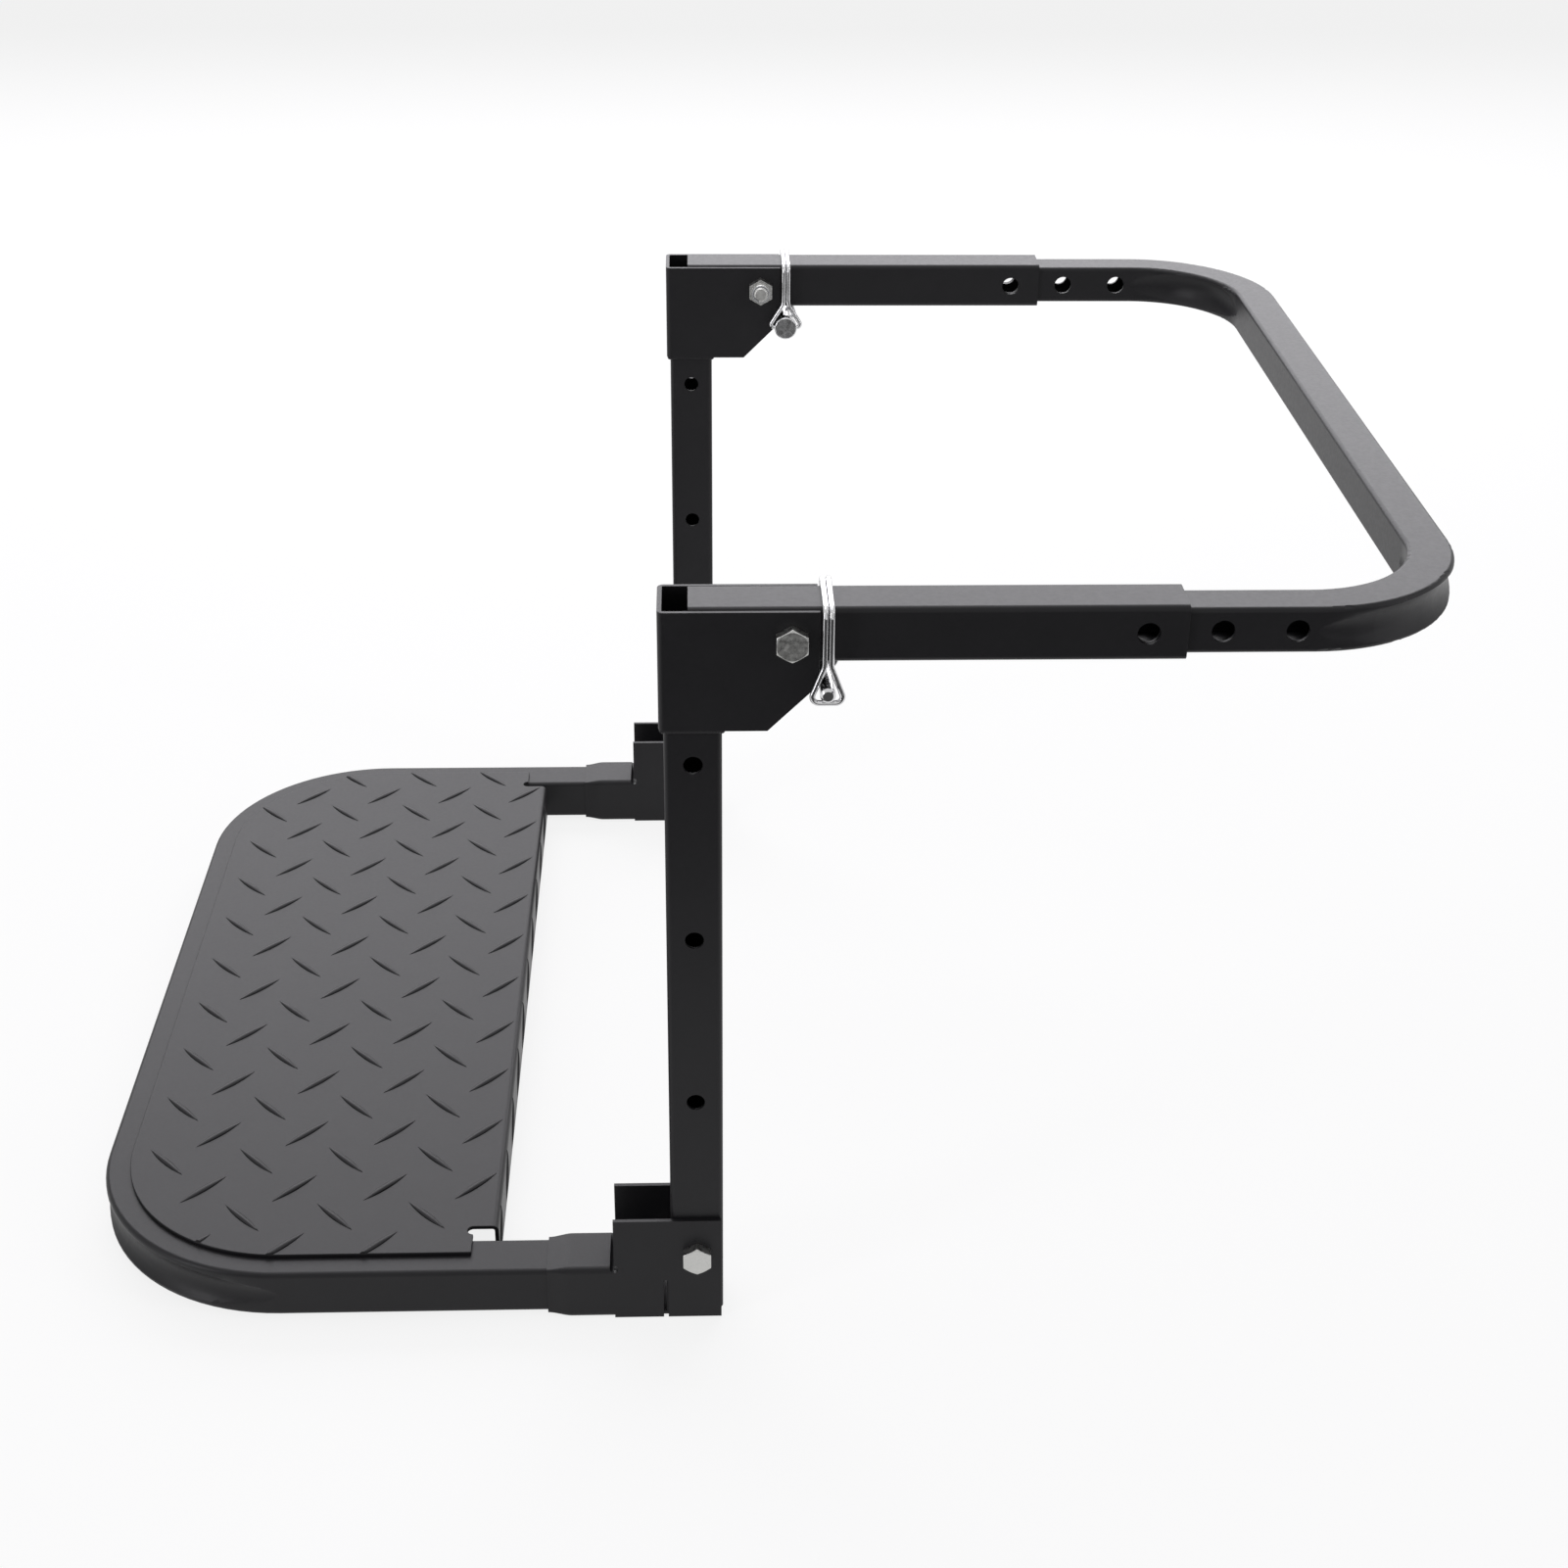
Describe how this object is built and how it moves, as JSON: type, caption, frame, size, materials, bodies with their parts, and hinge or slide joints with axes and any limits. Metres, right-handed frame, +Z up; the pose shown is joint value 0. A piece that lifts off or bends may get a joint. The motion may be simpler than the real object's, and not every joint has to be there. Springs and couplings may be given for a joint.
{
  "type": "folding tire step",
  "caption": "Folding step that hangs on a vehicle's tire: tread platform, posts, folding arms and a telescoping U-shaped hook with wire-lock pins.",
  "frame": {"origin": "on the floor, at the middle of the object's box", "axes": "+X from the step towards the hook, +Y across the arms, +Z up"},
  "size_m": [0.7674, 0.6442, 0.4543],
  "materials": {
    "powder_coat": "black semi-gloss powder coat on steel",
    "zinc": "bright zinc plate",
    "chrome": "bright plated steel"
  },
  "bodies": {
    "posts": {"post_far": "powder_coat", "post_near": "powder_coat", "elbow_bracket_far": "powder_coat", "elbow_bracket_near": "powder_coat", "elbow_bolt_far": "zinc", "elbow_bolt_near": "zinc", "elbow_nut_far": "zinc", "elbow_nut_near": "zinc", "foot_bolt_far": "zinc", "foot_bolt_near": "zinc", "foot_nut_far": "zinc", "foot_nut_near": "zinc"},
    "step": {"tread_plate": "powder_coat", "step_frame_tube": "powder_coat", "foot_bracket_far": "powder_coat", "foot_bracket_near": "powder_coat"},
    "arms": {"arm_sleeve_far": "powder_coat", "arm_sleeve_near": "powder_coat"},
    "hook": {"hook_tube": "powder_coat"},
    "lock_pin_far": {"lock_pin_far": "chrome", "pin_bail_far": "chrome"},
    "lock_pin_near": {"lock_pin_near": "chrome", "pin_bail_near": "chrome"}
  },
  "joints": [
    {"name": "step_fold", "type": "hinge", "parent": "posts", "child": "step", "pos_m": [-0.02175, 0, 0.045], "axis": [0, 1, 0], "range_deg": [0, 82]},
    {"name": "arm_fold", "type": "hinge", "parent": "posts", "child": "arms", "pos_m": [0.02825, 0, 0.434], "axis": [0, 1, 0], "range_deg": [0, 90]},
    {"name": "hook_slide", "type": "slide", "parent": "arms", "child": "hook", "axis": [1, 0, 0], "range_m": [-0.06, 0.038]},
    {"name": "lock_pin_far_slide", "type": "slide", "parent": "arms", "child": "lock_pin_far", "axis": [1, 0, 0], "range_m": [0, 0.09]},
    {"name": "lock_pin_near_slide", "type": "slide", "parent": "arms", "child": "lock_pin_near", "axis": [1, 0, 0], "range_m": [0, 0.09]}
  ],
  "couplings": [
    {"joint": "lock_pin_far_slide", "follows": "arm_fold", "m_per_rad": 0.057},
    {"joint": "lock_pin_near_slide", "follows": "arm_fold", "m_per_rad": 0.057}
  ]
}
